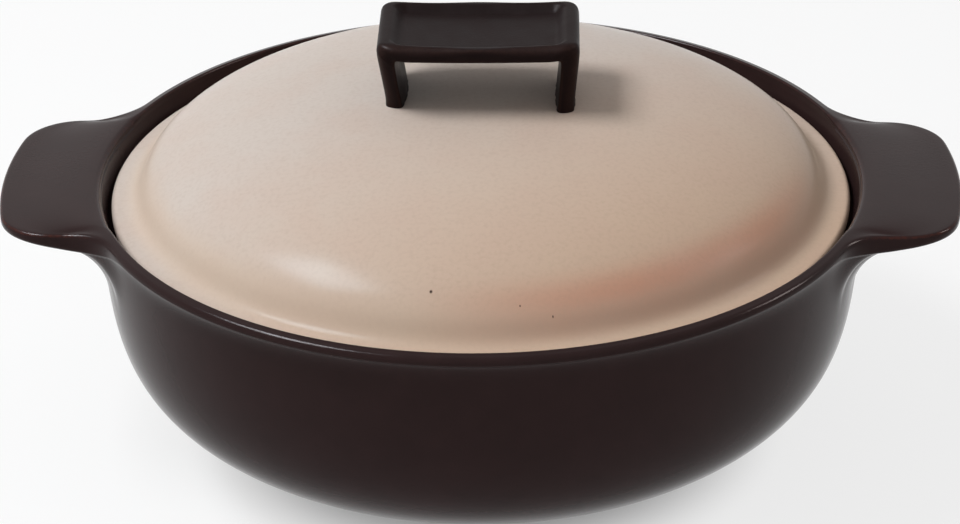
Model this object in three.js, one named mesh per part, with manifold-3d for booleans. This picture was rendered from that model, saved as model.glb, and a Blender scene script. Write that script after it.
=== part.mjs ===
// Two-eared ceramic pan with a domed lid: bowl, two tab ears, lid shell and bridge handle.
// Millimetres, +Z up, the foot stands on Z = 0 and the ears reach out along X.

import * as THREE from 'three';
import { mergeVertices } from 'three/addons/utils/BufferGeometryUtils.js';
import Module from 'manifold-3d';

const wasm = await Module();
wasm.setup();

// Bowl: the outer wall climbs from the foot in one sweep and ends in a small flared lip
const FOOT_RADIUS = 60.5;
const FOOT_EDGE = 1.2;
const FOOT_RING = 10;
const FOOT_RECESS = 1.5;
const FLOOR_THICKNESS = 9;
const WALL_RADIUS = 125.6;
const WALL_THICKNESS = 8;
const BELLY_REACH = 55.8;
const BELLY_SLOPE = 0.42;
const WALL_RUN = 60.4;
const RIM_HEIGHT = 95.2;
const LIP_HEIGHT = 8;
const LIP_REACH = 3.6;
const LIP_WIDTH = 4;
const LIP_ROUND = 1.6;

// Gallery: the ledge inside the lip that carries the lid
const GALLERY_DEPTH = 10;
const LEDGE_WIDTH = 8.6;
const LEDGE_SLOPE = 2.6;
const LEDGE_NOSE = 1.2;
const LEDGE_BRACKET = 10;

// Ears: flat tabs whose tips are concentric with the pan
const EAR_REACH = 28.9;
const EAR_WIDTH = 85;
const EAR_CORNER = 14;
const EAR_FILLET = 20;
const EAR_THICKNESS = 5.4;
const EAR_EDGE = 2;
const EAR_DROP = 1.6;
const EAR_ROOT_GAIN = 4.4;
const EAR_ROOT_DROP = 13;
const EAR_ROOT_RUN = 32;
const EAR_ROOT_FLANK = 0.5;
const EAR_BURIED = 12;

// Lid: flat flange, soft crease, broad low dome
const LID_FLANGE = 9;
const FLANGE_THICKNESS = 4.8;
const FLANGE_ROUND = 1.4;
const LID_THICKNESS = 6;
const DOME_RISE = 32.7;
const DOME_SHOULDER = 2.39;
const DOME_CROWN = 2.1;
const CREASE = 4;

// Lid handle: a tray-topped bar on two slab legs
const HANDLE_LENGTH = 66.4;
const HANDLE_DEPTH = 39;
const HANDLE_RISE = 25;
const HANDLE_CORNER = 4.5;
const HANDLE_EDGE = 2;
const BAR_CORNER = 7;
const BAR_THICKNESS = 5.8;
const BAR_SAG = 1;
const LEG_THICKNESS = 6;
const LEG_LEAN = 3.4;
const LEG_TAPER = 6;
const LEG_FILLET = 3;
const LEG_BURIED = 8;
const TRAY_END = 5.5;
const TRAY_SIDE = 3.8;
const TRAY_CORNER = 5;
const TRAY_DEPTH = 2;

// Clearances: the luting joint round each stuck-on piece, the free lid in its gallery,
// and the flat faces of the handle while its corners are rounded
const LUTE_GAP = 0.3;
const SEAT_GAP = 0.1;
const LID_GAP = 3.2;
const TRIM_GAP = 0.2;

// Fineness of the faceted shapes
const TURN_STEPS = 60;
const WALL_STEPS = 10;
const DOME_STEPS = 11;
const PLAN_STEPS = 5;
const EDGE_STEPS = 3;
const UNDERSIDE_STEPS = 5;
const WELD = 1e-4;

// Levels and radii that follow from the sizes above
const WALL_TOP = RIM_HEIGHT - LIP_HEIGHT;
const LIP_RADIUS = WALL_RADIUS + LIP_REACH;
const LIP_INSIDE = LIP_RADIUS - LIP_WIDTH;
const LEDGE_Z = RIM_HEIGHT - GALLERY_DEPTH;
const LEDGE_OUTSIDE = LIP_INSIDE - LEDGE_SLOPE;
const LEDGE_INSIDE = LEDGE_OUTSIDE - LEDGE_WIDTH;
const LID_RADIUS = LIP_INSIDE - LID_GAP;
const LID_Z = LEDGE_Z + SEAT_GAP;
const FLANGE_Z = LID_Z + FLANGE_THICKNESS;
const DOME_RADIUS = LID_RADIUS - LID_FLANGE;
const CROWN_Z = FLANGE_Z + DOME_RISE;
const BAR_TOP = CROWN_Z + HANDLE_RISE;
const EAR_TOP = RIM_HEIGHT - EAR_DROP;
const EAR_TIP = LIP_RADIUS + EAR_REACH;

// Shared shaping

function at( x, y ) {

	return new THREE.Vector2( x, y );

}

function arc( cx, cy, radius, from, to, steps = EDGE_STEPS ) {

	const points = [];

	for ( let i = 0; i <= steps; i ++ ) {

		const a = from + ( to - from ) * i / steps;
		points.push( at( cx + radius * Math.cos( a ), cy + radius * Math.sin( a ) ) );

	}

	return points;

}

function moved( profile, distance ) {

	// Each point goes sideways, to the left of the way the profile runs
	return profile.map( ( p, i ) => {

		const before = profile[ Math.max( i - 1, 0 ) ];
		const after = profile[ Math.min( i + 1, profile.length - 1 ) ];
		const along = after.clone().sub( before ).normalize();
		return at( p.x - along.y * distance, p.y + along.x * distance );

	} );

}

function turned( profile ) {

	// The profile is (radius, height) and runs from axis to axis
	const geometry = new THREE.LatheGeometry( profile, TURN_STEPS );
	return geometry.rotateX( Math.PI / 2 );

}

function toManifold( geometry ) {

	const bare = geometry.clone();
	bare.deleteAttribute( 'normal' );
	bare.deleteAttribute( 'uv' );
	const merged = mergeVertices( bare, WELD );
	const index = merged.index.array;
	const kept = [];

	for ( let i = 0; i < index.length; i += 3 ) {

		const [ a, b, c ] = [ index[ i ], index[ i + 1 ], index[ i + 2 ] ];
		if ( a !== b && b !== c && c !== a ) kept.push( a, b, c );

	}

	return new wasm.Manifold( new wasm.Mesh( {
		numProp: 3,
		vertProperties: new Float32Array( merged.attributes.position.array ),
		triVerts: new Uint32Array( kept ),
	} ) );

}

function toGeometry( solid ) {

	const mesh = solid.getMesh();
	const geometry = new THREE.BufferGeometry();
	geometry.setAttribute( 'position', new THREE.BufferAttribute( mesh.vertProperties, 3 ) );
	geometry.setIndex( new THREE.BufferAttribute( mesh.triVerts, 1 ) );
	return geometry;

}

function loft( rings ) {

	// Closed rings of equal length, joined one to the next
	const count = rings[ 0 ].length;
	const positions = rings.flat().flatMap( p => [ p.x, p.y, p.z ] );
	const index = [];

	for ( let i = 0; i < rings.length - 1; i ++ ) {

		for ( let j = 0; j < count; j ++ ) {

			const a = i * count + j;
			const b = i * count + ( j + 1 ) % count;
			index.push( a, b, b + count, a, b + count, a + count );

		}

	}

	const geometry = new THREE.BufferGeometry();
	geometry.setAttribute( 'position', new THREE.Float32BufferAttribute( positions, 3 ) );
	geometry.setIndex( index );
	return geometry;

}

// Bowl

function wallProfile() {

	const sweep = new THREE.CubicBezierCurve(
		at( FOOT_RADIUS, FOOT_EDGE ),
		at( FOOT_RADIUS + BELLY_REACH, FOOT_EDGE + BELLY_REACH * BELLY_SLOPE ),
		at( WALL_RADIUS, WALL_TOP - WALL_RUN ),
		at( WALL_RADIUS, WALL_TOP ),
	);
	return sweep.getPoints( WALL_STEPS );

}

function lipProfile() {

	// From the wall out to the widest point, over the crown and in to the gallery
	const flare = new THREE.QuadraticBezierCurve(
		at( WALL_RADIUS, WALL_TOP ),
		at( LIP_RADIUS, ( WALL_TOP + RIM_HEIGHT - LIP_ROUND ) / 2 ),
		at( LIP_RADIUS, RIM_HEIGHT - LIP_ROUND ),
	);
	return [
		...flare.getPoints( EDGE_STEPS ).slice( 1, - 1 ),
		...arc( LIP_RADIUS - LIP_ROUND, RIM_HEIGHT - LIP_ROUND, LIP_ROUND, 0, Math.PI / 2 ),
		...arc( LIP_INSIDE + LIP_ROUND, RIM_HEIGHT - LIP_ROUND, LIP_ROUND, Math.PI / 2, Math.PI ),
	];

}

function outsideProfile() {

	return [
		at( FOOT_RADIUS - FOOT_EDGE, 0 ),
		...wallProfile(),
		...lipProfile(),
	];

}

function insideProfile() {

	// From the gallery corner over the ledge, down the inner wall and in to the middle of the floor
	const bracketFoot = LEDGE_Z - LEDGE_BRACKET;
	const inner = moved( wallProfile(), WALL_THICKNESS );
	const wall = inner.filter( p => p.y > FLOOR_THICKNESS && p.y < bracketFoot ).reverse();
	return [
		at( LEDGE_OUTSIDE, LEDGE_Z ),
		at( LEDGE_INSIDE + LEDGE_NOSE, LEDGE_Z ),
		at( LEDGE_INSIDE, LEDGE_Z - LEDGE_NOSE ),
		at( LEDGE_INSIDE, LEDGE_Z - 2 * LEDGE_NOSE ),
		...wall,
		at( FOOT_RADIUS - FOOT_EDGE, FLOOR_THICKNESS ),
		at( 0, FLOOR_THICKNESS ),
	];

}

function bowlGeometry() {

	const recessRadius = FOOT_RADIUS - FOOT_EDGE - FOOT_RING;
	return turned( [
		at( 0, FOOT_RECESS ),
		at( recessRadius - FOOT_RECESS, FOOT_RECESS ),
		at( recessRadius, 0 ),
		...outsideProfile(),
		...insideProfile(),
	] );

}

// Ears

function earOutline() {

	// Half of the plan, root to tip: fillet out of the lip, straight side, corner, concentric tip
	const half = EAR_WIDTH / 2;
	const filletY = half + EAR_FILLET;
	const filletX = Math.sqrt( ( LIP_RADIUS + EAR_FILLET ) ** 2 - filletY ** 2 );
	const filletEnd = Math.atan2( filletY, filletX );
	const cornerY = half - EAR_CORNER;
	const cornerX = Math.sqrt( ( EAR_TIP - EAR_CORNER ) ** 2 - cornerY ** 2 );
	const cornerEnd = Math.atan2( cornerY, cornerX );
	const fillet = arc( filletX, filletY, EAR_FILLET, filletEnd + Math.PI, 1.5 * Math.PI, PLAN_STEPS );
	const side = [
		at( fillet[ 0 ].x - EAR_BURIED, fillet[ 0 ].y ),
		...fillet,
		...arc( cornerX, cornerY, EAR_CORNER, Math.PI / 2, cornerEnd, PLAN_STEPS ),
		...arc( 0, 0, EAR_TIP, cornerEnd, 0 ).slice( 1 ),
	];
	const mirrored = side.slice( 0, - 1 ).reverse().map( p => at( p.x, - p.y ) );
	return [ ...side, ...mirrored ];

}

function earUnderside( p, share ) {

	// The edge thickens a little towards the wall, and the middle flows down into the bowl.
	// The share is 0 at the edge of the tab and 1 along its middle.
	const run = THREE.MathUtils.clamp( 1 - ( p.length() - WALL_RADIUS ) / EAR_ROOT_RUN, 0, 1 );
	const flow = THREE.MathUtils.smoothstep( share, 0, EAR_ROOT_FLANK );
	return EAR_TOP - EAR_THICKNESS - EAR_ROOT_GAIN * run - EAR_ROOT_DROP * run * run * flow;

}

function earSolid() {

	const outline = earOutline();
	const edge = arc( 0, 0, EAR_EDGE, Math.PI / 2, 0 );
	const closed = [ outline[ outline.length - 1 ], ...outline, outline[ 0 ] ];
	const inset = distance => moved( closed, - distance ).slice( 1, - 1 );
	const upper = edge.map( e => inset( EAR_EDGE - e.x )
		.map( p => new THREE.Vector3( p.x, p.y, EAR_TOP - EAR_EDGE + e.y ) ) );
	const lower = edge.map( e => inset( EAR_EDGE - e.x )
		.map( p => new THREE.Vector3( p.x, p.y, earUnderside( p, 0 ) + EAR_EDGE - e.y ) ) ).reverse();
	const spine = upper[ 0 ].map( p => new THREE.Vector3( p.x, 0, p.z ) );
	const underside = [];

	for ( let i = 1; i <= UNDERSIDE_STEPS; i ++ ) {

		const share = i / UNDERSIDE_STEPS;
		const ring = inset( EAR_EDGE ).map( p => at( p.x, p.y * ( 1 - share ) ) );
		underside.push( ring.map( p => new THREE.Vector3( p.x, p.y, earUnderside( p, share ) ) ) );

	}

	return toManifold( loft( [ spine, ...upper, ...lower, ...underside ] ) );

}

function earGeometry( turn ) {

	// The bowl's outside, filled in and peaked, so that nothing of the ear is left within the rim
	const bowlBlank = turned( [
		at( 0, 0 ),
		...moved( outsideProfile(), - LUTE_GAP ),
		at( 0, 2 * RIM_HEIGHT ),
	] );
	const ear = toGeometry( earSolid().subtract( toManifold( bowlBlank ) ) );
	return ear.rotateZ( turn );

}

// Lid

function domeProfile( radius, base, rise ) {

	// A soft-shouldered dome from its crown on the axis down to its base
	const points = [];

	for ( let i = 0; i <= DOME_STEPS; i ++ ) {

		const t = Math.sin( i / DOME_STEPS * Math.PI / 2 );
		const z = base + rise * Math.pow( 1 - Math.pow( t, DOME_SHOULDER ), 1 / DOME_CROWN );
		points.push( at( radius * t, z ) );

	}

	return points;

}

function lidOutside() {

	// Crown, shoulder, crease and flange, down to the flange's lower edge
	const dome = domeProfile( DOME_RADIUS, FLANGE_Z, DOME_RISE ).filter( p => p.y > FLANGE_Z + CREASE );
	const crease = new THREE.QuadraticBezierCurve(
		dome[ dome.length - 1 ],
		at( DOME_RADIUS, FLANGE_Z ),
		at( DOME_RADIUS + CREASE, FLANGE_Z ),
	);
	return [
		...dome,
		...crease.getPoints( EDGE_STEPS ).slice( 1 ),
		...arc( LID_RADIUS - FLANGE_ROUND, FLANGE_Z - FLANGE_ROUND, FLANGE_ROUND, Math.PI / 2, 0 ),
	];

}

function lidGeometry() {

	const inside = domeProfile( DOME_RADIUS - LID_THICKNESS, LID_Z, CROWN_Z - LID_THICKNESS - LID_Z );
	return turned( [
		...lidOutside(),
		at( LID_RADIUS - FLANGE_ROUND / 2, LID_Z ),
		...inside.reverse(),
	].reverse() );

}

// Lid handle

function handleOutline() {

	// Front view in (x, z): two legs under a bar that sags a little at the middle
	const half = HANDLE_LENGTH / 2;
	const footZ = CROWN_Z - LEG_BURIED;
	const footX = half - LEG_LEAN;
	const shoulderZ = BAR_TOP - HANDLE_CORNER;
	const barUnder = BAR_TOP - BAR_THICKNESS;
	const shape = new THREE.Shape();
	shape.moveTo( - footX, footZ );
	shape.lineTo( - footX + LEG_THICKNESS, footZ );
	shape.lineTo( - half + LEG_THICKNESS, barUnder - LEG_FILLET );
	shape.quadraticCurveTo( - half + LEG_THICKNESS, barUnder, - half + LEG_THICKNESS + LEG_FILLET, barUnder );
	shape.quadraticCurveTo( 0, barUnder - 2 * BAR_SAG, half - LEG_THICKNESS - LEG_FILLET, barUnder );
	shape.quadraticCurveTo( half - LEG_THICKNESS, barUnder, half - LEG_THICKNESS, barUnder - LEG_FILLET );
	shape.lineTo( footX - LEG_THICKNESS, footZ );
	shape.lineTo( footX, footZ );
	shape.lineTo( half, shoulderZ );
	shape.quadraticCurveTo( half, BAR_TOP, half - HANDLE_CORNER, BAR_TOP );
	shape.quadraticCurveTo( 0, BAR_TOP - 2 * BAR_SAG, - half + HANDLE_CORNER, BAR_TOP );
	shape.quadraticCurveTo( - half, BAR_TOP, - half, shoulderZ );
	shape.closePath();
	return shape;

}

function handleBlank() {

	const geometry = new THREE.ExtrudeGeometry( handleOutline(), {
		depth: HANDLE_DEPTH - 2 * HANDLE_EDGE,
		curveSegments: PLAN_STEPS,
		bevelThickness: HANDLE_EDGE,
		bevelSize: HANDLE_EDGE,
		bevelOffset: - HANDLE_EDGE,
		bevelSegments: EDGE_STEPS,
	} );
	geometry.translate( 0, 0, - HANDLE_DEPTH / 2 + HANDLE_EDGE ).rotateX( Math.PI / 2 );
	const position = geometry.attributes.position;

	for ( let i = 0; i < position.count; i ++ ) {

		// Below the bar, the front and back faces draw in towards the feet
		const below = BAR_TOP - BAR_THICKNESS - position.getZ( i );
		const fall = Math.max( below / ( HANDLE_RISE - BAR_THICKNESS ), 0 );
		position.setY( i, position.getY( i ) * ( 1 - 2 * LEG_TAPER / HANDLE_DEPTH * fall ) );

	}

	return toManifold( geometry );

}

function roundedBlock( length, depth, corner, low, high ) {

	// A rounded rectangle seen from above, carried straight up
	const x = length / 2 - corner;
	const y = depth / 2 - corner;
	const quarter = Math.PI / 2;
	const plan = new THREE.Shape( [
		...arc( x, y, corner, 0, quarter, PLAN_STEPS ),
		...arc( - x, y, corner, quarter, 2 * quarter, PLAN_STEPS ),
		...arc( - x, - y, corner, 2 * quarter, 3 * quarter, PLAN_STEPS ),
		...arc( x, - y, corner, 3 * quarter, 4 * quarter, PLAN_STEPS ),
	] );
	const block = new THREE.ExtrudeGeometry( plan, { depth: high - low, bevelEnabled: false } );
	return toManifold( block.translate( 0, 0, low ) );

}

function cornerTrim() {

	const length = HANDLE_LENGTH + 2 * TRIM_GAP;
	const depth = HANDLE_DEPTH + 2 * TRIM_GAP;
	return roundedBlock( length, depth, BAR_CORNER, CROWN_Z - 2 * LEG_BURIED, BAR_TOP + HANDLE_EDGE );

}

function trayCutter() {

	const length = HANDLE_LENGTH - 2 * TRAY_END;
	const depth = HANDLE_DEPTH - 2 * TRAY_SIDE;
	return roundedBlock( length, depth, TRAY_CORNER, BAR_TOP - TRAY_DEPTH, BAR_TOP + TRAY_DEPTH );

}

function handleGeometry() {

	// The lid's outside, filled in, so that the feet sit on the dome
	const domeBlank = turned( [
		at( 0, CROWN_Z + LUTE_GAP ),
		...moved( lidOutside(), LUTE_GAP ).slice( 1 ),
		at( LID_RADIUS, LID_Z ),
		at( 0, LID_Z ),
	].reverse() );
	const bridge = handleBlank().intersect( cornerTrim() ).subtract( trayCutter() );
	return toGeometry( bridge.subtract( toManifold( domeBlank ) ) );

}

// Glazes and assembly

function glaze( color, roughness ) {

	return new THREE.MeshStandardMaterial( { color, roughness, metalness: 0 } );

}

const part = new THREE.Group();

function addPiece( name, geometry, material ) {

	const mesh = new THREE.Mesh( geometry, material );
	mesh.name = name;
	part.add( mesh );

}

addPiece( 'pan_bowl', bowlGeometry(), glaze( 0x2f2827, 0.3 ) );
addPiece( 'left_ear', earGeometry( Math.PI ), glaze( 0x3a3130, 0.3 ) );
addPiece( 'right_ear', earGeometry( 0 ), glaze( 0x3a3130, 0.3 ) );
addPiece( 'lid_shell', lidGeometry(), glaze( 0xc9b6a8, 0.5 ) );
addPiece( 'lid_handle', handleGeometry(), glaze( 0x2b2628, 0.55 ) );

export default part;
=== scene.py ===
import math

import bpy
import numpy as np
from mathutils import Matrix, Vector


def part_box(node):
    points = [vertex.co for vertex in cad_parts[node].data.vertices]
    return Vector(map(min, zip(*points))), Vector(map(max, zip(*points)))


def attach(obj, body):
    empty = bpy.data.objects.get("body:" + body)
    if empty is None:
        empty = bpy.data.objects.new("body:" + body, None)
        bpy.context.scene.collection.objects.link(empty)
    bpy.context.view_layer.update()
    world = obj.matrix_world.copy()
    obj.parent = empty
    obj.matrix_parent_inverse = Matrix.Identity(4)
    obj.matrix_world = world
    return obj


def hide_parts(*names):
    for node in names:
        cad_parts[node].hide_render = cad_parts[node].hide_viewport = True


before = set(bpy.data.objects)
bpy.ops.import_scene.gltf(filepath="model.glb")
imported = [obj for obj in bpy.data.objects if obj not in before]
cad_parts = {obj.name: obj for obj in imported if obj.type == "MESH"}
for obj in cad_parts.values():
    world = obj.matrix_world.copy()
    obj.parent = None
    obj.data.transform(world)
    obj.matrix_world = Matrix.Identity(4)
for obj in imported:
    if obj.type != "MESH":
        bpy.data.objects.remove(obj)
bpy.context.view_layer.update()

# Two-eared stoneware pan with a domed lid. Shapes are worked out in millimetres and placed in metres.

MM = 0.001
QUARTER = math.pi / 2


# Sizes read from the frame, in millimetres

def corners(node):
    """Lowest and highest corner of a CAD node, in millimetres."""
    low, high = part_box(node)
    return np.array(low) / MM, np.array(high) / MM


BOWL_HIGH = corners("pan_bowl")[1]
EAR_HIGH = corners("right_ear")[1]
LID_LOW, LID_HIGH = corners("lid_shell")
HANDLE_LOW, HANDLE_HIGH = corners("lid_handle")
LIP_RADIUS = BOWL_HIGH[0]
RIM_Z = BOWL_HIGH[2]
EAR_TIP = EAR_HIGH[0]
EAR_TOP = EAR_HIGH[2]
LID_RADIUS = LID_HIGH[0]
SEAT_Z = LID_LOW[2]
CROWN_Z = LID_HIGH[2]
BAR_HALF = HANDLE_HIGH[0]
BAR_TOP = HANDLE_HIGH[2]
HANDLE_DEPTH = HANDLE_HIGH[1] - HANDLE_LOW[1]

# Bowl
FOOT_RADIUS = 60.5
FOOT_EDGE = 1.2
FOOT_RING = 10.0
FOOT_RECESS = 1.5
FOOT_BARE_MARGIN = 1.0
FLOOR_Z = 9.0
FLOOR_RADIUS = FOOT_RADIUS - 6.0
POLE_RADIUS = 2.0
WALL_RADIUS = 125.6
WALL_TOP = RIM_Z - 8.0
WALL_THICKNESS = 8.0
WALL_RUN = 60.4  # handle of the wall's curve, down from its top
BELLY_REACH = 55.8  # handle of the wall's curve, out from the foot
BELLY_SLOPE = 0.42
LEDGE_Z = SEAT_Z - 0.1
LEDGE_INSIDE = 114.0
LEDGE_OUTSIDE = 122.6
LEDGE_ROUND = 1.2
LIP_INSIDE = 125.2
LIP_ROUND = 0.9
BRACKET_FOOT = 75.0  # above this height the inner wall swells out to carry the ledge

# Rim and ears; the left and the right ear of the fired pan aren't quite alike
EAR_LEFT_BACK = 42.5
EAR_LEFT_FRONT = 45.5
EAR_RIGHT_BACK = 40.5
EAR_RIGHT_FRONT = 47.0
EAR_FILLET = 20.0
EAR_CORNER_FRONT = 18.0
EAR_CORNER_BACK = 19.0
EAR_THICKNESS = 3.7
EAR_ROOT_GAIN = 8.3
EAR_ROOT_RUN = 32.0
EAR_ROOT_FADE = (18.0, 31.0)  # degrees off the ear's axis
EAR_UPPER_EDGE = 1.2
EAR_LOWER_EDGE = 1.8
EAR_INNER_ROUND = 2.2
EAR_BLEND = 12.0  # reach past the lip at which the section is all ear
RIM_FALL = 0.3
RIM_UPPER_EDGE = 2.0
RIM_LOWER_EDGE = 0.9
RIM_THICKNESS = 3.1

# Cove between an ear, or the rim, and the wall
COVE_EAR_Z = 65.5
COVE_RIM_Z = 83.5
COVE_SPREAD = (15.0, 36.0)  # degrees off the ear's axis
COVE_FAN = 22.0  # spread along the rim by which the cove's foot is evened out
COVE_SOFT = 1.2  # spread in rings
COVE_BELLY = 0.3  # 0 is a hollow quarter round, 1 a full one
COVE_BELLY_REACH = (131.0, 140.0)
COVE_BELLY_FADE = (22.0, 34.0)  # degrees off the ear's axis

# How thin the pan's glaze draws over its edges
THIN_LIP = 0.7
THIN_RIM = 0.4
THIN_EAR = 1.0
THIN_UNDERSIDE = 0.5

# Lid
LID_FLANGE = 9.0
FLANGE_THICKNESS = 4.8
LID_THICKNESS = 6.0
DOME_SHOULDER = 2.39
DOME_CROWN = 2.1
DOME_POLE = 0.03  # radians, the dome's first ring
CREASE_RISE = 1.0
CREASE_OUT = 1.5
CREASE_BLUR = 3.4
FLANGE_FLAT = 2.0
LID_EDGE = 1.2
LID_EDGE_TOP = 0.8
FLANGE_Z = SEAT_Z + FLANGE_THICKNESS
DOME_RADIUS = LID_RADIUS - LID_FLANGE

# Where the lid's glaze is thin or wiped off, where painted light lifts the crease's shade, and where the
# dome's flank is flashed and painted with shade; the crease light and the flank count from the dome's edge
LID_THIN_EDGE = 1.2
CREASE_LIGHT_PLACE = -1.0
CREASE_LIGHT_WIDTH = 4.5
FLANK_RISE = (-16.0, -1.0)
FLANK_END = (-2.0, 3.0)
SEAT_BARE_RISE = 0.6

# Lid handle; two numbers stand for the left and the right leg
BAR_BACK = 1.5
BAR_DEPTH = HANDLE_DEPTH + BAR_BACK
BAR_THICKNESS = 5.8
BAR_SAG_ABOVE = 1.4
BAR_SAG_BELOW = 0.4
BAR_EDGE = 1.1
BAR_CORNER = 8.5
BAR_SHOULDER = 8  # places of the outer line
BAR_INNER_SHOULDER = 4  # places of the inner line
BAR_FACES_UP = 0.5  # least upward share of the section's direction where the tray is sunk
BAR_UNDER = BAR_TOP - BAR_THICKNESS
LEG_THICKNESS = 6.4
LEG_LEAN_OUTSIDE = (3.5, 2.6)
LEG_LEAN_INSIDE = (2.0, 1.3)
LEG_TAPER = 6.2
LEG_SKEW = 1.9
LEG_BULGE = (1.6, 0.7)
LEG_BULGE_FALL = (0.25, 0.85)  # share of the way down a leg
LEG_ROUND = 4.4
LEG_INNER_ROUND = 1.1
LEG_FACE_LEAST = 0.1  # flat that is left between a leg's rounds
FOOT_BURIED = 3.5
FOOT_FLARE = 0.35
FOOT_FLARE_RISE = 1.0
FOOT_RAGGED = ((0.5, 0.9, 0.0), (0.4, 1.7, 1.3))  # share, radians per millimetre and start of each wave
TRAY_END = 4.4
TRAY_SIDE = 2.4
TRAY_CORNER = 5.0
TRAY_DEPTH = 2.6
TRAY_SLOPE = 4.4

# Fineness of the meshes: places along a line, rings of a skin, and step and blur of a walked profile
ARC_PLACES = 40
LIP_PLACES = 200
PLAN_PLACES = 560
PLAN_BLUR = 1.6
INNER_WALL_PLACES = 40
INNER_WALL_START = 0.02
WALL_TABLE_PLACES = 400
EDGE_RINGS = 7
RIM_TOP_RINGS = 12
COVE_RINGS = 14
WALL_RINGS = 31
HOLLOW_STEP, HOLLOW_BLUR = 4.0, 3.0
GALLERY_STEP, GALLERY_BLUR = 0.9, 0.7
FOOT_STEP, FOOT_BLUR = 2.0, 0.6
LID_PLACES = 360
DOME_PLACES = 60
DOME_STEP = 1.1
LID_EDGE_STEP, LID_EDGE_BLUR = 0.5, 0.5
LID_UNDER_STEP, LID_UNDER_BLUR = 3.5, 1.5
LEG_PLACES = 70
BAR_PLACES = 190
BAR_TOP_PLACES = 72
BAR_UNDER_PLACES = 28
BAR_END_PLACES = 6
BAR_CORNER_PLACES = 8
GAUSS_CUT = 3  # spreads at which a Gaussian is cut off


# Shared shaping

def smooth(t):
    """Smoothstep: 0 up to 0, 1 from 1 on, level at both ends."""
    t = np.clip(t, 0, 1)
    return t * t * (3 - 2 * t)


def ramp(value, start, end):
    """Smoothstep of a value from 0 at start to 1 at end."""
    return smooth((value - start) / (end - start))


def mixed(a, b, share):
    """The straight mix of a and b, with share running from 0 at a to 1 at b."""
    return a + (b - a) * share


def arc(centre, radius, start, end, count=ARC_PLACES):
    """Points of a circle's arc in the plane."""
    turn = np.linspace(start, end, count)
    return np.stack([centre[0] + radius * np.cos(turn), centre[1] + radius * np.sin(turn)], 1)


def walked(points, count):
    """A polyline walked in count even steps of length."""
    along = np.concatenate([[0], np.cumsum(np.hypot(*np.diff(points, axis=0).T))])
    walk = np.linspace(0, along[-1], count)
    return np.stack([np.interp(walk, along, points[:, k]) for k in (0, 1)], 1)


def blurred(points, places):
    """Each point becomes the Gaussian mean of its neighbours; places is the spread, counted in points.

    The line is turned about its end points to go on past them, so the ends stay where they are. The
    points may also be whole rings, which are then blurred from ring to ring.
    """
    reach = int(GAUSS_CUT * places) + 1
    weight = np.exp(-0.5 * (np.arange(-reach, reach + 1) / places) ** 2)
    before = 2 * points[0] - points[reach:0:-1]
    after = 2 * points[-1] - points[-2:-reach - 2:-1]
    longer = np.concatenate([before, points, after])
    return sum(w * longer[k:k + len(points)] for k, w in enumerate(weight / weight.sum()))


def blurred_loop(points, places):
    """The running Gaussian mean of a closed line."""
    wrap = int((GAUSS_CUT + 1) * places) + 2
    looped = np.concatenate([points[-wrap:], points, points[:wrap]])
    return blurred(looped, places)[wrap:-wrap]


def softened(points, step, blur):
    """A profile walked at even steps, with its corners rounded by a running Gaussian mean."""
    points = np.array(points, float)
    length = np.hypot(*np.diff(points, axis=0).T).sum()
    return blurred(walked(points, int(length / step) + 2), blur / step)


def build(name, rings, **tones):
    """Rings of points, an array (ring, place, xyz) in millimetres, joined into quads, closed by end fans.

    Each tone is one number per point and becomes an attribute that the material reads.
    """
    count, width = rings.shape[:2]
    ends = [rings[0].mean(0), rings[-1].mean(0)]
    points = np.concatenate([rings.reshape(-1, 3), ends]) * MM
    here = np.arange(count * width).reshape(count, width)
    there = np.roll(here, -1, 1)
    quads = np.stack([here[:-1], here[1:], there[1:], there[:-1]], -1).reshape(-1, 4)
    first = np.stack([np.full(width, count * width), here[0], there[0]], -1)
    last = np.stack([np.full(width, count * width + 1), there[-1], here[-1]], -1)
    mesh = bpy.data.meshes.new(name)
    mesh.from_pydata(points.tolist(), [], quads.tolist() + first.tolist() + last.tolist())
    for tone, values in tones.items():
        flat = np.concatenate([values.ravel(), [values[0].mean(), values[-1].mean()]])
        mesh.attributes.new(tone, "FLOAT", "POINT").data.foreach_set("value", flat)
    mesh.shade_smooth()
    made = bpy.data.objects.new(name, mesh)
    bpy.context.collection.objects.link(made)
    return made


# Pan: bowl, rim and ears as one glazed skin

def ear_side(side, corner):
    """Plan of one side of an ear, tip to root: concentric tip, corner, straight side, fillet to the lip."""
    fillet_y = side + EAR_FILLET
    fillet_x = math.sqrt((LIP_RADIUS + EAR_FILLET) ** 2 - fillet_y ** 2)
    corner_y = side - corner
    corner_x = math.sqrt((EAR_TIP - corner) ** 2 - corner_y ** 2)
    corner_turn = math.atan2(corner_y, corner_x)
    root_turn = math.atan2(fillet_y, fillet_x)
    return np.concatenate([
        arc((0, 0), EAR_TIP, 0, corner_turn)[:-1],
        arc((corner_x, corner_y), corner, corner_turn, QUARTER),
        arc((fillet_x, fillet_y), EAR_FILLET, 3 * QUARTER, math.pi + root_turn),
    ])


def lip_between(start, end):
    """The lip's circle, anticlockwise from the root of one ear's side to the root of another's."""
    first, last = [math.atan2(side[-1, 1], side[-1, 0]) % (2 * math.pi) for side in (start, end)]
    return arc((0, 0), LIP_RADIUS, first, last, LIP_PLACES)[1:-1]


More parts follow.
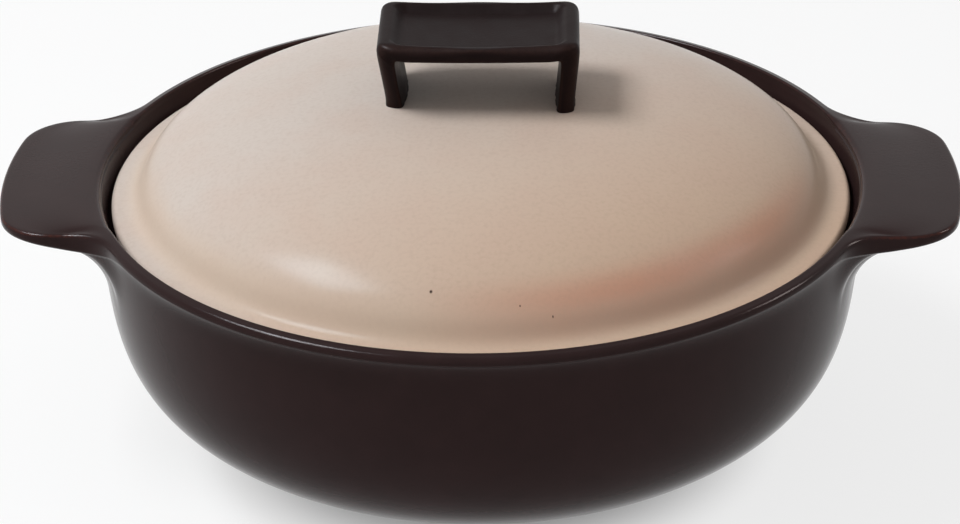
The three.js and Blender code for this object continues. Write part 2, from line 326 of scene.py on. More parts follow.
def pan_plan():
    """The rim's outline from above, both ears included, in even steps anticlockwise, and the step."""
    right_back = ear_side(EAR_RIGHT_BACK, EAR_CORNER_BACK)
    left_back = ear_side(EAR_LEFT_BACK, EAR_CORNER_BACK) * [-1, 1]
    left_front = ear_side(EAR_LEFT_FRONT, EAR_CORNER_FRONT) * [-1, -1]
    right_front = ear_side(EAR_RIGHT_FRONT, EAR_CORNER_FRONT) * [1, -1]
    outline = np.concatenate([
        right_back, lip_between(right_back, left_back), left_back[::-1],
        left_front[1:], lip_between(left_front, right_front), right_front[::-1],
    ])
    even = walked(outline, PLAN_PLACES + 1)[:-1]
    step = np.hypot(*(even[1] - even[0]))
    return blurred_loop(even, PLAN_BLUR / step), step


def wall(t):
    """Radius and height of the outer wall, one cubic curve from the foot (t 0) to the lip (t 1)."""
    t = np.asarray(t, float)
    r = (FOOT_RADIUS, FOOT_RADIUS + BELLY_REACH, WALL_RADIUS, WALL_RADIUS)
    z = (FOOT_EDGE, FOOT_EDGE + BELLY_REACH * BELLY_SLOPE, WALL_TOP - WALL_RUN, WALL_TOP)
    weights = ((1 - t) ** 3, 3 * (1 - t) ** 2 * t, 3 * (1 - t) * t * t, t ** 3)
    return sum(w * p for w, p in zip(weights, r)), sum(w * p for w, p in zip(weights, z))


def bowl_inside():
    """Radius and height from the middle of the floor up the inner wall and over the ledge to the lip.

    The inner wall is the outer wall moved in by the wall's thickness along its normal.
    """
    r, z = wall(np.linspace(INNER_WALL_START, 1, INNER_WALL_PLACES))
    along = np.stack([np.gradient(r), np.gradient(z)], 1)
    along /= np.hypot(*along.T)[:, None]
    inner = np.stack([r - along[:, 1] * WALL_THICKNESS, z + along[:, 0] * WALL_THICKNESS], 1)
    inner = inner[(inner[:, 1] > FLOOR_Z) & (inner[:, 1] < BRACKET_FOOT)]
    ledge_foot = (LEDGE_INSIDE, LEDGE_Z - 2 * LEDGE_ROUND)
    hollow = [(POLE_RADIUS, FLOOR_Z), (FLOOR_RADIUS, FLOOR_Z), *inner, ledge_foot]
    gallery = [
        ledge_foot, (LEDGE_INSIDE, LEDGE_Z - LEDGE_ROUND), (LEDGE_INSIDE + LEDGE_ROUND, LEDGE_Z),
        (LEDGE_OUTSIDE, LEDGE_Z), (LIP_INSIDE, RIM_Z - EAR_INNER_ROUND),
    ]
    return np.concatenate([
        softened(hollow, HOLLOW_STEP, HOLLOW_BLUR)[:-1],
        softened(gallery, GALLERY_STEP, GALLERY_BLUR),
    ])


def make_pan():
    """One skin, ring by ring: up the inside, over rim or ear, round its edge, down the wall to the foot.

    Inside and wall are circles. The edge is the plan outline, inset along its normal; between the two,
    each ring is a straight mix. An ear's share of the rim's section grows with its reach past the lip.
    An ear thickens towards its root and runs into the wall by a quarter-round cove. Both fade out by the
    angle off the ear's axis. The cove's foot is fanned out along the wall, so that it leaves no fold.
    """
    plan, step = pan_plan()
    reach = np.hypot(*plan.T)
    outwards = plan / reach[:, None]
    fanned = blurred_loop(outwards, COVE_FAN / step)
    fanned /= np.hypot(*fanned.T)[:, None]
    along = np.roll(plan, -1, 0) - np.roll(plan, 1, 0)
    along /= np.hypot(*along.T)[:, None]
    out = np.stack([along[:, 1], -along[:, 0]], 1)
    ear = smooth((reach - LIP_RADIUS) / EAR_BLEND)
    off_axis = np.degrees(np.arctan2(np.abs(fanned[:, 1]), np.abs(fanned[:, 0])))
    run = np.clip(1 - (reach - WALL_RADIUS) / EAR_ROOT_RUN, 0, 1)
    root = 1 - ramp(off_axis, *EAR_ROOT_FADE)
    top = mixed(RIM_Z - RIM_FALL, EAR_TOP, ear)
    under = top - mixed(RIM_THICKNESS, EAR_THICKNESS + EAR_ROOT_GAIN * run ** 2, root)
    upper = mixed(RIM_UPPER_EDGE, EAR_UPPER_EDGE, ear)
    lower = mixed(RIM_LOWER_EDGE, EAR_LOWER_EDGE, ear)
    inner_round = mixed(LIP_ROUND, EAR_INNER_ROUND, ear)
    meets = mixed(COVE_EAR_Z, COVE_RIM_Z, ramp(off_axis, *COVE_SPREAD))
    belly = COVE_BELLY * (1 - ramp(reach, *COVE_BELLY_REACH)) * (1 - ramp(off_axis, *COVE_BELLY_FADE))
    rings, thin, bare = [], [], []

    def lay(xy, z, thinness=0.0, bareness=0.0):
        z = np.broadcast_to(z, reach.shape)
        rings.append(np.concatenate([xy, z[:, None]], 1))
        thin.append(np.broadcast_to(thinness, reach.shape))
        bare.append(np.broadcast_to(bareness, reach.shape))

    def circle(r, ways=outwards):
        return ways * np.broadcast_to(r, reach.shape)[:, None]

    def inset(distance):
        return plan - out * np.asarray(distance)[:, None]

    # Inside, and the lip's inner edge
    for r, z in bowl_inside():
        lay(circle(r), z)
    for a in np.linspace(0, QUARTER, EDGE_RINGS):
        r = LIP_INSIDE + inner_round * (1 - math.cos(a))
        lay(circle(r), RIM_Z - inner_round * (1 - math.sin(a)), THIN_LIP * math.sin(2 * a))

    # Top of the rim and the ears, and their outer edge
    inner, outer = circle(LIP_INSIDE + inner_round), inset(upper)
    for s in np.linspace(0, 1, RIM_TOP_RINGS)[1:-1]:
        lay(mixed(inner, outer, s), mixed(RIM_Z, top, mixed(s, smooth(s), ear)))
    for a in np.linspace(0, QUARTER, EDGE_RINGS):
        thinned = mixed(THIN_RIM, THIN_EAR, ear) * math.sin(2 * a)
        lay(inset(upper * (1 - math.sin(a))), top - upper * (1 - math.cos(a)), thinned)
    lay(plan, (top - upper + under + lower) / 2)
    for a in np.linspace(0, QUARTER, EDGE_RINGS):
        thinned = THIN_UNDERSIDE * math.sin(2 * a)
        lay(inset(lower * (1 - math.cos(a))), under + lower * (1 - math.sin(a)), thinned)
    edge = len(rings) - 1

    # Cove and wall, softened from ring to ring where they meet
    height = np.linspace(0, 1, WALL_TABLE_PLACES)
    start = np.interp(meets, wall(height)[1], height)
    inner, outer = circle(wall(start)[0], fanned), inset(lower)
    for a in np.linspace(0, QUARTER, COVE_RINGS)[1:]:
        inwards = mixed(math.sin(a), 1 - math.cos(a), belly)
        downwards = mixed(1 - math.cos(a), math.sin(a), belly)
        lay(mixed(outer, inner, inwards[:, None]), mixed(under, meets, downwards))
    for s in np.linspace(1, 0, WALL_RINGS)[1:]:
        r, z = wall(start * s)
        lay(circle(r, fanned), z)
    rings[edge:] = blurred(np.stack(rings[edge:]), COVE_SOFT)

    # Foot, with its ring wiped bare
    recess = FOOT_RADIUS - FOOT_EDGE - FOOT_RING
    foot = [
        (FOOT_RADIUS, FOOT_EDGE), (FOOT_RADIUS - FOOT_EDGE, 0), (recess, 0),
        (recess - FOOT_RECESS, FOOT_RECESS), (POLE_RADIUS, FOOT_RECESS),
    ]
    for r, z in softened(foot, FOOT_STEP, FOOT_BLUR)[1:]:
        wiped = float(FOOT_RADIUS - FOOT_BARE_MARGIN > r > recess - FOOT_BARE_MARGIN)
        lay(circle(r, fanned), max(z, 0.0), 0, wiped)

    made = build("glazed_pan", np.stack(rings), thin_glaze=np.stack(thin), bare_clay=np.stack(bare))
    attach(made, "pan")
    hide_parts("pan_bowl", "left_ear", "right_ear")
    return made


# Lid

def dome_rise(t):
    """Share of the dome's height at share t of its radius: (1 - t^shoulder)^(1/crown)."""
    return (1 - t ** DOME_SHOULDER) ** (1 / DOME_CROWN)


def dome(radius, base, rise):
    """Profile of a dome, crown to base."""
    t = np.sin(np.linspace(DOME_POLE, QUARTER, DOME_PLACES))
    return np.stack([radius * t, base + rise * dome_rise(t)], 1)


def dome_height(r):
    """Height of the lid's outside over a place at distance r from the axis, inside the dome."""
    return FLANGE_Z + (CROWN_Z - FLANGE_Z) * dome_rise(np.clip(r / DOME_RADIUS, 0, 1))


def make_lid():
    """The lid's section turned about the axis: dome, soft crease, flange, round edge, hollow underside."""
    over = dome(DOME_RADIUS, FLANGE_Z, CROWN_Z - FLANGE_Z)
    over = over[over[:, 1] > FLANGE_Z + CREASE_RISE]
    flange = [(DOME_RADIUS + CREASE_OUT, FLANGE_Z), (LID_RADIUS - FLANGE_FLAT, FLANGE_Z)]
    over = softened([*over, *flange], DOME_STEP, CREASE_BLUR)
    edge = softened([
        over[-1], (LID_RADIUS - LID_EDGE_TOP, FLANGE_Z), (LID_RADIUS, FLANGE_Z - LID_EDGE),
        (LID_RADIUS, SEAT_Z + LID_EDGE), (LID_RADIUS - LID_EDGE, SEAT_Z), (LID_RADIUS - LID_FLANGE, SEAT_Z),
    ], LID_EDGE_STEP, LID_EDGE_BLUR)
    under = dome(DOME_RADIUS - LID_THICKNESS, SEAT_Z, CROWN_Z - LID_THICKNESS - SEAT_Z)[::-1]
    under = softened([edge[-1], *under], LID_UNDER_STEP, LID_UNDER_BLUR)
    section = np.concatenate([over, edge[1:], under[1:]])
    shape = (len(section), LID_PLACES)
    turn = np.linspace(0, 2 * math.pi, LID_PLACES, endpoint=False)
    r, z = section.T
    from_dome = r - DOME_RADIUS
    outside = np.arange(len(section)) < len(over) + len(edge) // 2
    rim = np.exp(-((r - LID_RADIUS) / LID_THIN_EDGE) ** 2) * outside
    # Painted light: a lighter band round the crease, lifting the crease's shade.
    pool = np.exp(-((from_dome - CREASE_LIGHT_PLACE) / CREASE_LIGHT_WIDTH) ** 2) * outside
    # The dome's flank, where the rosy brown lies: partly flashed glaze, partly painted shade and painted
    # reflection.
    flank = ramp(from_dome, *FLANK_RISE) * (1 - ramp(from_dome, *FLANK_END)) * outside
    seat = ((z < SEAT_Z + SEAT_BARE_RISE) & (from_dome > 0)).astype(float)
    rim, pool, flank, seat = [np.broadcast_to(tone[:, None], shape) for tone in (rim, pool, flank, seat)]
    level = np.broadcast_to(z[:, None], shape)
    rings = np.stack([np.outer(r, np.cos(turn)), np.outer(r, np.sin(turn)), level], -1)
    made = build("domed_lid", rings, thin_glaze=rim, pooled_glaze=pool, bare_clay=seat, flashed_dome=flank)
    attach(made, "lid")
    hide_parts("lid_shell")
    return made


# Lid handle

def handle_line(half, leans, level, sag):
    """One edge of the handle seen from the front, foot to foot over the bar, which sags at the middle."""
    leg = np.linspace(0, 1, LEG_PLACES)[:-1]
    z = mixed(CROWN_Z - FOOT_BURIED, level, leg)
    left = np.stack([mixed(leans[0] - half, -half, leg), z], 1)
    right = np.stack([mixed(half - leans[1], half, leg), z], 1)
    x = np.linspace(-half, half, BAR_PLACES)
    bar = np.stack([x, level - sag * (1 - (x / half) ** 2)], 1)
    return np.concatenate([left, bar, right[::-1]])


def facets(outwards, along, corner_p, corner_q):
    """Points of the section: share outwards, share along the depth, and the corner's direction."""
    return np.stack(np.broadcast_arrays(outwards, along, corner_p, corner_q), 1)


def handle_section():
    """A unit rounded rectangle, walked round: outer face, end, inner face, other end, with the corners."""
    a = np.linspace(0, QUARTER, BAR_CORNER_PLACES)[1:-1]
    outer = np.linspace(-1, 1, BAR_TOP_PLACES)
    inner = np.linspace(1, -1, BAR_UNDER_PLACES)
    end = np.linspace(1, 0, BAR_END_PLACES)[1:-1]
    return np.concatenate([
        facets(1.0, outer, 1.0, 0.0),
        facets(1.0, 1.0, np.cos(a), np.sin(a)),
        facets(end, 1.0, 0.0, 1.0),
        facets(0.0, 1.0, -np.sin(a), np.cos(a)),
        facets(0.0, inner, -1.0, 0.0),
        facets(0.0, -1.0, -np.cos(a), -np.sin(a)),
        facets(1 - end, -1.0, 0.0, -1.0),
        facets(1.0, -1.0, np.sin(a), -np.cos(a)),
    ])


def tray(x, y):
    """How far down the tray's slope a place lies, 0 on the border to 1 on the floor.

    It is the smoothstep of the distance inside a box with rounded corners.
    """
    to_end = np.abs(x) - (BAR_HALF - TRAY_END - TRAY_CORNER)
    to_side = np.abs(y) - (BAR_DEPTH / 2 - TRAY_SIDE - TRAY_CORNER)
    outside = np.hypot(np.maximum(to_end, 0), np.maximum(to_side, 0))
    distance = outside + np.minimum(np.maximum(to_end, to_side), 0) - TRAY_CORNER
    return smooth(-distance / TRAY_SLOPE)


def make_handle():
    """A rounded-rectangle section carried foot to foot along a bridge, its top sunk into a shallow tray.

    The section spans the outer and inner edge lines. Its depth follows the rounded plan of the bar and
    narrows towards the feet, which stand a little askew. The legs' inner faces swell at mid-depth, and
    the feet spread in ragged waves where the slip that joins them was pressed down.
    """
    outer = handle_line(BAR_HALF, LEG_LEAN_OUTSIDE, BAR_TOP, BAR_SAG_ABOVE)
    inner = handle_line(BAR_HALF - LEG_THICKNESS, LEG_LEAN_INSIDE, BAR_UNDER, BAR_SAG_BELOW)
    outer = blurred(outer, BAR_SHOULDER)
    inner = blurred(inner, BAR_INNER_SHOULDER)
    middle = (outer + inner) / 2
    across = outer - inner
    half = np.hypot(*across.T)[:, None] / 2
    across = across / (2 * half)
    fall = np.clip((BAR_UNDER - middle[:, 1:]) / (BAR_UNDER - CROWN_Z), 0, None)
    beyond = np.clip(np.abs(middle[:, :1]) - BAR_HALF + BAR_CORNER, 0, BAR_CORNER)
    depth = BAR_DEPTH / 2 - BAR_CORNER + np.sqrt(BAR_CORNER ** 2 - beyond ** 2) - LEG_TAPER * fall
    upright = np.abs(across[:, :1])
    most_round = 2 * half - LEG_INNER_ROUND - LEG_FACE_LEAST
    round_out = np.minimum(mixed(BAR_EDGE, LEG_ROUND, smooth(upright)), most_round)
    outwards, along, corner_p, corner_q = handle_section().T
    radius = np.where(outwards > 0.5, round_out, LEG_INNER_ROUND)
    p = mixed(LEG_INNER_ROUND - half, half - round_out, outwards) + radius * corner_p
    q = along * (depth - radius) + radius * corner_q
    bulge = np.where(middle[:, :1] < 0, *LEG_BULGE)
    swell = bulge * ramp(fall, *LEG_BULGE_FALL) * (corner_p < 0)
    p = p - swell * (1 - (q / depth) ** 2)
    skew = BAR_BACK / 2 - np.sign(middle[:, :1]) * LEG_SKEW * fall
    above = middle[:, 1:] - dome_height(np.hypot(middle[:, :1], q))
    ragged = 1 + sum(share * np.sin(rate * q + start) for share, rate, start in FOOT_RAGGED)
    flare = FOOT_FLARE * ragged * np.exp(-np.clip(above, 0, None) / FOOT_FLARE_RISE)
    p = p + flare * corner_p
    q = q + flare * corner_q + skew
    x = middle[:, :1] + across[:, :1] * p
    z = middle[:, 1:] + across[:, 1:] * p
    on_top = (corner_p == 1) & (across[:, 1:] > BAR_FACES_UP)
    z = z - TRAY_DEPTH * tray(x, q - BAR_BACK / 2) * on_top
    worn = np.broadcast_to(2 * np.abs(corner_p * corner_q), z.shape)
    made = build("bridge_handle", np.stack([x, q, z], -1), thin_glaze=worn)
    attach(made, "lid")
    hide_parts("lid_handle")
    return made


# Materials

# Glaze patterns, in millimetres. Real glaze grain is about 0.1 mm, too fine for a picture of the whole pan,
# so it is drawn about ten times as coarse.
PAN_CLOUD = 14.0
PAN_GRAIN = 1.3
LID_CLOUD = 22.0
LID_GRAIN = 1.4
HANDLE_CLOUD = 7.0
HANDLE_GRAIN = 0.9
CLOUD_DETAIL = 4.0
GRAIN_DETAIL = 3.0

# Span of noise values that a pattern uses, and the share of its colour at the upper end
CLOUD_SPAN = (0.3, 0.7)
PAN_THIN_SPAN = (0.25, 0.65)
PAN_THIN_SHARE = 0.5
LID_CLOUD_SPAN = (0.4, 0.7)
LID_CLOUD_SHARE = 0.2
LID_GRAIN_SPAN = (0.45, 0.75)
LID_GRAIN_SHARE = 0.14
LID_CREASE_LIGHT_SHARE = 0.6
LID_THIN_SHARE = 0.15

# Gloss, low because the whole room is white, and the strength and height in millimetres of the glaze's peel
GLAZE_IOR = 1.5
PAN_GLOSS = 0.08
PAN_ROUGHNESS = (0.13, 0.18)
PAN_PEEL = (0.12, 0.25)
LID_GLOSS = 0.016
LID_ROUGHNESS = (0.2, 0.25)
LID_PEEL = (0.05, 0.2)
HANDLE_GLOSS = 0.03
HANDLE_ROUGHNESS = (0.34, 0.44)
HANDLE_PEEL = (0.2, 0.2)
CLAY_ROUGHNESS = 0.85

# The lid's colour by its side away from the window, warmer and flashed rosy brown, partly the glaze's own
# and partly painted shade and painted reflection: turn of that side, start and end from the axis, run
LID_FAR_SIDE_TURN = math.radians(51.5)
LID_WARMTH = (-20.0, 100.0, "LINEAR")
LID_FLASH_AND_SHADE = (68.0, 110.0, "EASING")

# Iron specks on the lid: place from the axis, and size
LID_SPECKS = ((-12.7, -103.6, 0.6), (14.2, -106.9, 0.3), (24.1, -107.7, 0.3))
SPECK_CORE = 0.4

# Sockets of a Mix node by number, because it has one set for colours and one for plain values
SHARE = 0
FROM_VALUE = 2
TO_VALUE = 3
FROM_COLOUR = 6
TO_COLOUR = 7
MADE_COLOUR = 2


def colour(hex_code):
    """An sRGB hex colour as linear RGBA."""
    channels = [int(hex_code[i:i + 2], 16) / 255 for i in (1, 3, 5)]
    return (*[c / 12.92 if c <= 0.04045 else ((c + 0.055) / 1.055) ** 2.4 for c in channels], 1)


def per_mm(size):
    """Texture scale whose pattern repeats about every size millimetres."""
    return 1 / (size * MM)


def add(tree, kind, inputs=None, **settings):
    """Adds a node with its settings; each input is a value, or a socket to link from."""
    made = tree.nodes.new(kind)
    for name, value in settings.items():
        setattr(made, name, value)
    for name, value in (inputs or {}).items():
        if isinstance(value, bpy.types.NodeSocket):
            tree.links.new(value, made.inputs[name])
        else:
            made.inputs[name].default_value = value
    return made


def new_material(name):
    """An empty node material; returns it with its tree."""
    material = bpy.data.materials.new(name)
    material.use_nodes = True
    material.node_tree.nodes.clear()
    return material, material.node_tree


def iron_brown_glaze():
    """Stoneware glaze rich in iron, dipped and fired to a soft gloss.

    Near black where thick, breaking to red-brown where it drew thin over edges, bare clay under the foot.
    """
    material, tree = new_material("iron_brown_stoneware_glaze_dipped")
    place = add(tree, "ShaderNodeTexCoord").outputs["Object"]
    cloud = add(tree, "ShaderNodeTexNoise",
                {"Vector": place, "Scale": per_mm(PAN_CLOUD), "Detail": CLOUD_DETAIL})
    grain = add(tree, "ShaderNodeTexNoise",
                {"Vector": place, "Scale": per_mm(PAN_GRAIN), "Detail": GRAIN_DETAIL})
    thin = add(tree, "ShaderNodeAttribute", attribute_name="thin_glaze")
    bare = add(tree, "ShaderNodeAttribute", attribute_name="bare_clay")
    body = add(tree, "ShaderNodeMix", {
        SHARE: cloud.outputs["Fac"], FROM_COLOUR: colour("#271b1b"), TO_COLOUR: colour("#302121"),
    }, data_type="RGBA")
    broken = add(tree, "ShaderNodeMath", {0: thin.outputs["Fac"], 1: grain.outputs["Fac"]},
                 operation="MULTIPLY")
    drawn = add(tree, "ShaderNodeMapRange", {
        "Value": broken.outputs[0], "From Min": PAN_THIN_SPAN[0], "From Max": PAN_THIN_SPAN[1],
        "To Min": 0.0, "To Max": PAN_THIN_SHARE,
    })
    edges = add(tree, "ShaderNodeMix", {
        SHARE: drawn.outputs[0], FROM_COLOUR: body.outputs[MADE_COLOUR], TO_COLOUR: colour("#552a20"),
    }, data_type="RGBA")
    clay = add(tree, "ShaderNodeMix", {
        SHARE: bare.outputs["Fac"], FROM_COLOUR: edges.outputs[MADE_COLOUR], TO_COLOUR: colour("#a98f78"),
    }, data_type="RGBA")
    rough = add(tree, "ShaderNodeMapRange", {
        "Value": cloud.outputs["Fac"], "From Min": CLOUD_SPAN[0], "From Max": CLOUD_SPAN[1],
        "To Min": PAN_ROUGHNESS[0], "To Max": PAN_ROUGHNESS[1],
    })
    dry = add(tree, "ShaderNodeMix",
              {SHARE: bare.outputs["Fac"], FROM_VALUE: rough.outputs[0], TO_VALUE: CLAY_ROUGHNESS})
    peel = add(tree, "ShaderNodeBump",
               {"Height": grain.outputs["Fac"], "Strength": PAN_PEEL[0], "Distance": PAN_PEEL[1] * MM})
    shader = add(tree, "ShaderNodeBsdfPrincipled", {
        "Base Color": clay.outputs[MADE_COLOUR], "Roughness": dry.outputs[0], "Normal": peel.outputs[0],
        "IOR": GLAZE_IOR, "Specular IOR Level": PAN_GLOSS, "Specular Tint": colour("#ffe9e2"),
    })
    add(tree, "ShaderNodeOutputMaterial", {"Surface": shader.outputs[0]})
    return material


def beige_satin_glaze():
    """Opaque beige glaze, sprayed and fired to a satin.

    Pale and fine-grained, cooler on the window's side and warmer away from it, and rosy brown on the dome's
    far flank: partly the glaze's own flashing, partly painted shade and painted reflection of a dark
    surrounding.
    Painted light makes it lighter round the crease, lifting the crease's shade. A few iron specks.
    """
    material, tree = new_material("beige_satin_stoneware_glaze_sprayed")
    place = add(tree, "ShaderNodeTexCoord").outputs["Object"]
    shares = []
    for start, end, kind in (LID_WARMTH, LID_FLASH_AND_SHADE):
        towards = add(tree, "ShaderNodeMapping", {
            "Vector": place, "Location": (-start / (end - start), 0, 0), "Rotation": (0, 0, LID_FAR_SIDE_TURN),
            "Scale": (per_mm(end - start),) * 3,
        })
        shares.append(add(tree, "ShaderNodeTexGradient", {"Vector": towards.outputs[0]},
                          gradient_type=kind))
    warmth, flash = shares
    cloud = add(tree, "ShaderNodeTexNoise",
                {"Vector": place, "Scale": per_mm(LID_CLOUD), "Detail": CLOUD_DETAIL})
    grain = add(tree, "ShaderNodeTexNoise",
                {"Vector": place, "Scale": per_mm(LID_GRAIN), "Detail": GRAIN_DETAIL})
    thin = add(tree, "ShaderNodeAttribute", attribute_name="thin_glaze")
    pool = add(tree, "ShaderNodeAttribute", attribute_name="pooled_glaze")
    flank = add(tree, "ShaderNodeAttribute", attribute_name="flashed_dome")
    bare = add(tree, "ShaderNodeAttribute", attribute_name="bare_clay")
    # Cooler on the window's side, warmer away from it: partly the glaze's own tone, partly painted warm
    # shade.
    warm = add(tree, "ShaderNodeMix", {
        SHARE: warmth.outputs["Fac"], FROM_COLOUR: colour("#cdc1b8"), TO_COLOUR: colour("#ccb099"),
    }, data_type="RGBA")
    # Rosy brown on the dome's far flank: partly flashed glaze, partly painted shade and painted reflection
    # of a dark surrounding.
    flashed = add(tree, "ShaderNodeMath", {0: flash.outputs["Fac"], 1: flank.outputs["Fac"]},
                  operation="MULTIPLY")
    body = add(tree, "ShaderNodeMix", {
        SHARE: flashed.outputs[0], FROM_COLOUR: warm.outputs[MADE_COLOUR], TO_COLOUR: colour("#c68369"),
    }, data_type="RGBA")
    cloudy = add(tree, "ShaderNodeMapRange", {
        "Value": cloud.outputs["Fac"], "From Min": LID_CLOUD_SPAN[0], "From Max": LID_CLOUD_SPAN[1],
        "To Min": 0.0, "To Max": LID_CLOUD_SHARE,
    })
    clouded = add(tree, "ShaderNodeMix", {
        SHARE: cloudy.outputs[0], FROM_COLOUR: body.outputs[MADE_COLOUR], TO_COLOUR: colour("#c8a898"),
    }, data_type="RGBA")
    fine = add(tree, "ShaderNodeMapRange", {
        "Value": grain.outputs["Fac"], "From Min": LID_GRAIN_SPAN[0], "From Max": LID_GRAIN_SPAN[1],
        "To Min": 0.0, "To Max": LID_GRAIN_SHARE,
    })
    grained = add(tree, "ShaderNodeMix", {
        SHARE: fine.outputs[0], FROM_COLOUR: clouded.outputs[MADE_COLOUR], TO_COLOUR: colour("#9c8270"),
    }, data_type="RGBA")
    # Painted light round the crease, lifting its shade.
    crease_light_share = add(tree, "ShaderNodeMath", {0: pool.outputs["Fac"], 1: LID_CREASE_LIGHT_SHARE},
                   operation="MULTIPLY")
    pooled = add(tree, "ShaderNodeMix", {
        SHARE: crease_light_share.outputs[0], FROM_COLOUR: grained.outputs[MADE_COLOUR], TO_COLOUR: colour("#dcc4ae"),
    }, data_type="RGBA")
    drawn = add(tree, "ShaderNodeMath", {0: thin.outputs["Fac"], 1: LID_THIN_SHARE}, operation="MULTIPLY")
    glaze = add(tree, "ShaderNodeMix", {
        SHARE: drawn.outputs[0], FROM_COLOUR: pooled.outputs[MADE_COLOUR], TO_COLOUR: colour("#9a7c68"),
    }, data_type="RGBA")
    flat = add(tree, "ShaderNodeVectorMath", {0: place, 1: (1, 1, 0)}, operation="MULTIPLY")
    for x, y, size in LID_SPECKS:
        away = add(tree, "ShaderNodeVectorMath", {0: flat.outputs[0], 1: (x * MM, y * MM, 0)},
                   operation="DISTANCE")
        dot = add(tree, "ShaderNodeMapRange", {
            "Value": away.outputs["Value"], "From Min": SPECK_CORE * size * MM, "From Max": size * MM,
            "To Min": 1.0, "To Max": 0.0,
        })
        glaze = add(tree, "ShaderNodeMix", {
            SHARE: dot.outputs[0], FROM_COLOUR: glaze.outputs[MADE_COLOUR], TO_COLOUR: colour("#3a2a24"),
        }, data_type="RGBA")
    clay = add(tree, "ShaderNodeMix", {
        SHARE: bare.outputs["Fac"], FROM_COLOUR: glaze.outputs[MADE_COLOUR], TO_COLOUR: colour("#b39a84"),
    }, data_type="RGBA")
    rough = add(tree, "ShaderNodeMapRange", {
        "Value": cloud.outputs["Fac"], "From Min": CLOUD_SPAN[0], "From Max": CLOUD_SPAN[1],
        "To Min": LID_ROUGHNESS[0], "To Max": LID_ROUGHNESS[1],
    })
    peel = add(tree, "ShaderNodeBump",
               {"Height": grain.outputs["Fac"], "Strength": LID_PEEL[0], "Distance": LID_PEEL[1] * MM})
    shader = add(tree, "ShaderNodeBsdfPrincipled", {
        "Base Color": clay.outputs[MADE_COLOUR], "Roughness": rough.outputs[0], "Normal": peel.outputs[0],
        "IOR": GLAZE_IOR, "Specular IOR Level": LID_GLOSS,
    })
    add(tree, "ShaderNodeOutputMaterial", {"Surface": shader.outputs[0]})
    return material


def black_brown_matt_glaze():
    """Iron-saturated glaze brushed on the pressed handle, fired nearly matt.

    Soft black with a brown cast, a little lighter where it drew thin over the corners.
    """
    material, tree = new_material("black_brown_matt_glaze_brushed")
    place = add(tree, "ShaderNodeTexCoord").outputs["Object"]
    cloud = add(tree, "ShaderNodeTexNoise",
                {"Vector": place, "Scale": per_mm(HANDLE_CLOUD), "Detail": CLOUD_DETAIL})
    grain = add(tree, "ShaderNodeTexNoise",
                {"Vector": place, "Scale": per_mm(HANDLE_GRAIN), "Detail": GRAIN_DETAIL})
    thin = add(tree, "ShaderNodeAttribute", attribute_name="thin_glaze")
    body = add(tree, "ShaderNodeMix", {
        SHARE: cloud.outputs["Fac"], FROM_COLOUR: colour("#1b1414"), TO_COLOUR: colour("#221919"),
    }, data_type="RGBA")
    worn = add(tree, "ShaderNodeMath", {0: thin.outputs["Fac"], 1: grain.outputs["Fac"]},
               operation="MULTIPLY")
    edged = add(tree, "ShaderNodeMix", {
        SHARE: worn.outputs[0], FROM_COLOUR: body.outputs[MADE_COLOUR], TO_COLOUR: colour("#33231f"),
    }, data_type="RGBA")
    rough = add(tree, "ShaderNodeMapRange", {
        "Value": cloud.outputs["Fac"], "From Min": CLOUD_SPAN[0], "From Max": CLOUD_SPAN[1],
        "To Min": HANDLE_ROUGHNESS[0], "To Max": HANDLE_ROUGHNESS[1],
    })
    peel = add(tree, "ShaderNodeBump",
               {"Height": grain.outputs["Fac"], "Strength": HANDLE_PEEL[0],
                "Distance": HANDLE_PEEL[1] * MM})
    shader = add(tree, "ShaderNodeBsdfPrincipled", {
        "Base Color": edged.outputs[MADE_COLOUR], "Roughness": rough.outputs[0], "Normal": peel.outputs[0],
        "IOR": GLAZE_IOR, "Specular IOR Level": HANDLE_GLOSS, "Specular Tint": colour("#ffdfd5"),
    })
    add(tree, "ShaderNodeOutputMaterial", {"Surface": shader.outputs[0]})
    return material


# Floor, light and camera

# The floor's own white, near the pan's axis and far from it, and the distances between which it changes
FLOOR_WHITE = (0.2, 0.78)
FLOOR_FADE = (62, 105)
FLOOR_HALF = 3000.0
ROOM_LIGHT = 0.415

# The window at the upper left: its light, and its glare in the glazes
WINDOW_PLACE = (-690, -110, 1170)
WINDOW_AIM = (0, 0, 110)
WINDOW_SIZE = (560, 380)
WINDOW_POWER = 11.15
GLARE_POWER = 75

# A second glare, from the right
RIGHT_PLACE = (1010, 126, 720)
RIGHT_AIM = (0, 0, 90)
RIGHT_SIZE = (300, 300)
RIGHT_POWER = 5

CAMERA_DISTANCE = 1100.0
CAMERA_AIM = (-0.5, 0.0, 60.4)
CAMERA_TURN = 1.5
CAMERA_RISE = 27.42
CAMERA_ROLL = -0.70
CAMERA_LENS = 122.8
CAMERA_SENSOR = 36.0


def seen_ray(tree):
    """1 for rays that show the surroundings, straight, mirrored or through glass, and 0 for light."""
    path = add(tree, "ShaderNodeLightPath")
    seen = path.outputs["Is Camera Ray"]
    for kind in ("Is Glossy Ray", "Is Transmission Ray"):
        seen = add(tree, "ShaderNodeMath", {0: seen, 1: path.outputs[kind]}, operation="MAXIMUM").outputs[0]
    return seen


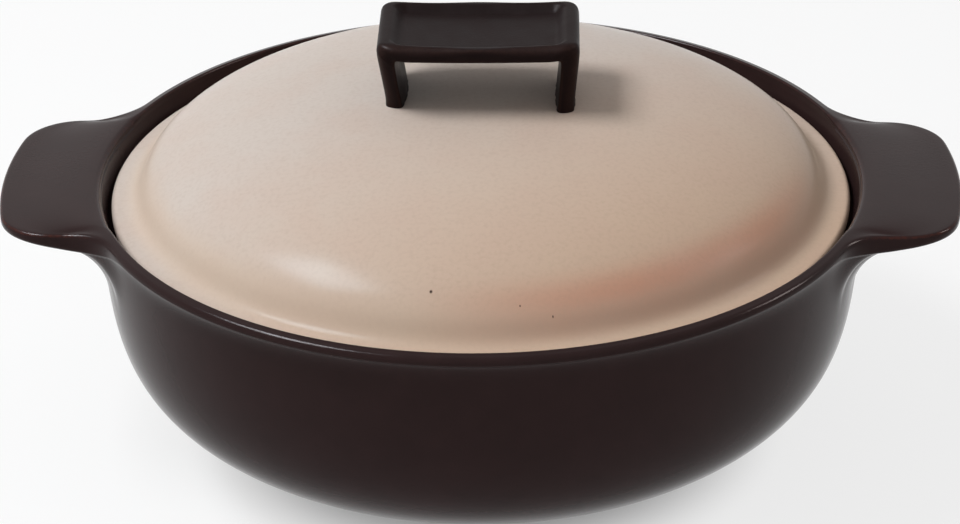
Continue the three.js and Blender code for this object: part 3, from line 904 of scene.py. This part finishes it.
def make_floor():
    """A white table top, wide enough to fill the picture.

    Away from the pan most of its white is its own, so the shadow is faint; under the pan it is full.
    """
    mesh = bpy.data.meshes.new("table_top")
    square = np.array([(-1, -1, 0), (1, -1, 0), (1, 1, 0), (-1, 1, 0)]) * FLOOR_HALF * MM
    mesh.from_pydata(square.tolist(), [], [(0, 1, 2, 3)])
    floor = bpy.data.objects.new("table_top", mesh)
    bpy.context.collection.objects.link(floor)
    material, tree = new_material("white_studio_paper")
    paper = add(tree, "ShaderNodeBsdfDiffuse", {"Color": colour("#f8f8f8")})
    white = add(tree, "ShaderNodeEmission", {"Color": colour("#ffffff"), "Strength": 1.0})
    place = add(tree, "ShaderNodeTexCoord").outputs["Object"]
    away = add(tree, "ShaderNodeVectorMath", {0: place}, operation="LENGTH")
    own = add(tree, "ShaderNodeMapRange", {
        "Value": away.outputs["Value"], "From Min": FLOOR_FADE[0] * MM, "From Max": FLOOR_FADE[1] * MM,
        "To Min": FLOOR_WHITE[0], "To Max": FLOOR_WHITE[1],
    }, interpolation_type="SMOOTHSTEP")
    share = add(tree, "ShaderNodeMath", {0: seen_ray(tree), 1: own.outputs[0]}, operation="MULTIPLY")
    shader = add(tree, "ShaderNodeMixShader",
                 {0: share.outputs[0], 1: paper.outputs[0], 2: white.outputs[0]})
    add(tree, "ShaderNodeOutputMaterial", {"Surface": shader.outputs[0]})
    mesh.materials.append(material)


def make_world():
    """Soft room light; what the camera and reflections see past the table is white."""
    world = bpy.data.worlds.new("soft_room")
    bpy.context.scene.world = world
    world.use_nodes = True
    tree = world.node_tree
    tree.nodes.clear()
    strength = add(tree, "ShaderNodeMapRange",
                   {"Value": seen_ray(tree), "To Min": ROOM_LIGHT, "To Max": 1.0})
    shade = add(tree, "ShaderNodeBackground",
                {"Color": colour("#ffffff"), "Strength": strength.outputs[0]})
    add(tree, "ShaderNodeOutputWorld", {"Surface": shade.outputs[0]})


def add_window(name, place, aim, size, power, tint, glare=False):
    """A soft rectangle of light at place, facing aim, in millimetres; glare shows in gloss alone."""
    data = bpy.data.lights.new(name, "AREA")
    data.shape = "RECTANGLE"
    data.size = size[0] * MM
    data.size_y = size[1] * MM
    data.energy = power
    data.color = colour(tint)[:3]
    lamp = bpy.data.objects.new(name, data)
    lamp.location = Vector(place) * MM
    lamp.rotation_euler = (Vector(aim) - Vector(place)).to_track_quat("-Z", "Y").to_euler()
    lamp.visible_diffuse = not glare
    bpy.context.collection.objects.link(lamp)


def make_camera():
    """The photograph's viewpoint: a long lens above the pan, level to within a degree."""
    turn = math.radians(CAMERA_TURN)
    rise = math.radians(CAMERA_RISE)
    back = Vector((math.sin(turn) * math.cos(rise), -math.cos(turn) * math.cos(rise), math.sin(rise)))
    data = bpy.data.cameras.new("camera")
    data.lens = CAMERA_LENS
    data.sensor_width = CAMERA_SENSOR
    camera = bpy.data.objects.new("camera", data)
    camera.location = (Vector(CAMERA_AIM) + back * CAMERA_DISTANCE) * MM
    level = (-back).to_track_quat("-Z", "Y").to_matrix()
    camera.rotation_euler = (level @ Matrix.Rotation(math.radians(CAMERA_ROLL), 3, "Z")).to_euler()
    bpy.context.collection.objects.link(camera)
    bpy.context.scene.camera = camera


pan = make_pan()
pan.data.materials.append(iron_brown_glaze())
lid = make_lid()
lid.data.materials.append(beige_satin_glaze())
handle = make_handle()
handle.data.materials.append(black_brown_matt_glaze())

make_floor()
make_world()
add_window("window_left", WINDOW_PLACE, WINDOW_AIM, WINDOW_SIZE, WINDOW_POWER, "#fbfdff")
add_window("window_left_glare", WINDOW_PLACE, WINDOW_AIM, WINDOW_SIZE, GLARE_POWER, "#d4f0ff", glare=True)
add_window("window_right_glare", RIGHT_PLACE, RIGHT_AIM, RIGHT_SIZE, RIGHT_POWER, "#ffffff", glare=True)
make_camera()
bpy.context.scene.view_settings.view_transform = "Standard"
